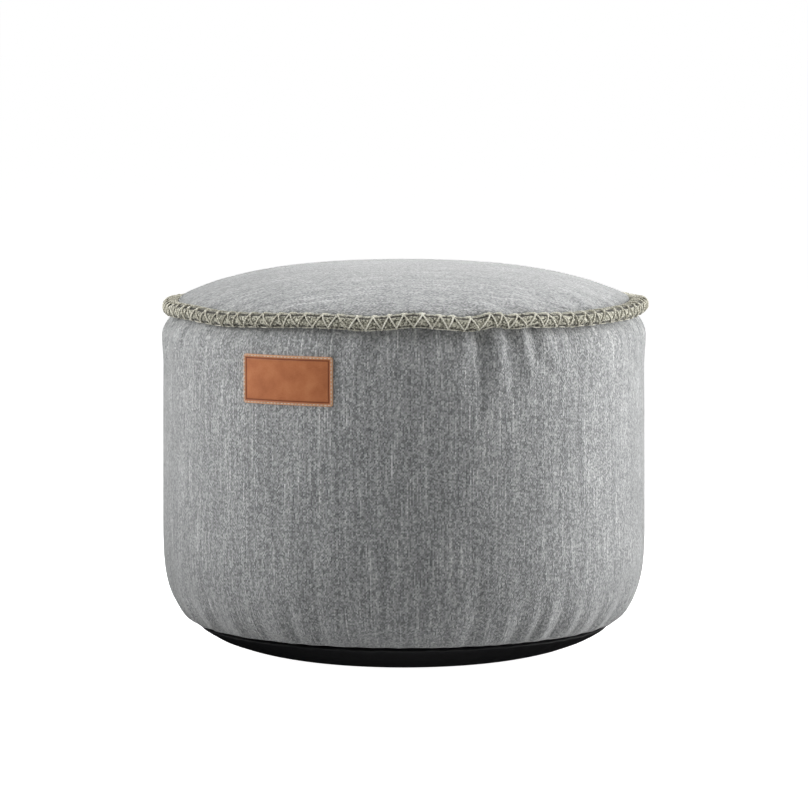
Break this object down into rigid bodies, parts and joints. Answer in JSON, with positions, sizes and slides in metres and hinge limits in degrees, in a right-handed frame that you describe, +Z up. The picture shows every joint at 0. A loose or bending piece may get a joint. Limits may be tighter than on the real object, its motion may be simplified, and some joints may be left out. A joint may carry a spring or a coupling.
{
  "type": "bean bag footstool",
  "caption": "Round drum-shaped bean bag footstool in grey canvas with a crowned top, an overcast rolled top seam, a black base cloth and a plain leather label.",
  "frame": {"origin": "middle of the flat foot, on the surface that the footstool stands on", "axes": "+Z up through the drum's axis; the leather label is on the front, which faces -Y, to the left of the middle"},
  "size_m": [0.5022, 0.5022, 0.404],
  "materials": {
    "grey_canvas": "coarse melange canvas, light and dark grey yarns with short vertical slubs, matt",
    "black_base_cloth": "smooth tightly woven near-black cloth with a slight sheen",
    "bound_edge": "rolled canvas edge overcast with cream yarn in a zigzag between two chain lines",
    "tan_leather": "smooth vegetable-tanned leather, tan, with a pressed border line and a stitched edge"
  },
  "bodies": {
    "root": {"top_panel": "grey_canvas", "side_panel": "grey_canvas", "base_panel": "black_base_cloth", "seam_binding": "bound_edge", "leather_label": "tan_leather"}
  },
  "joints": []
}
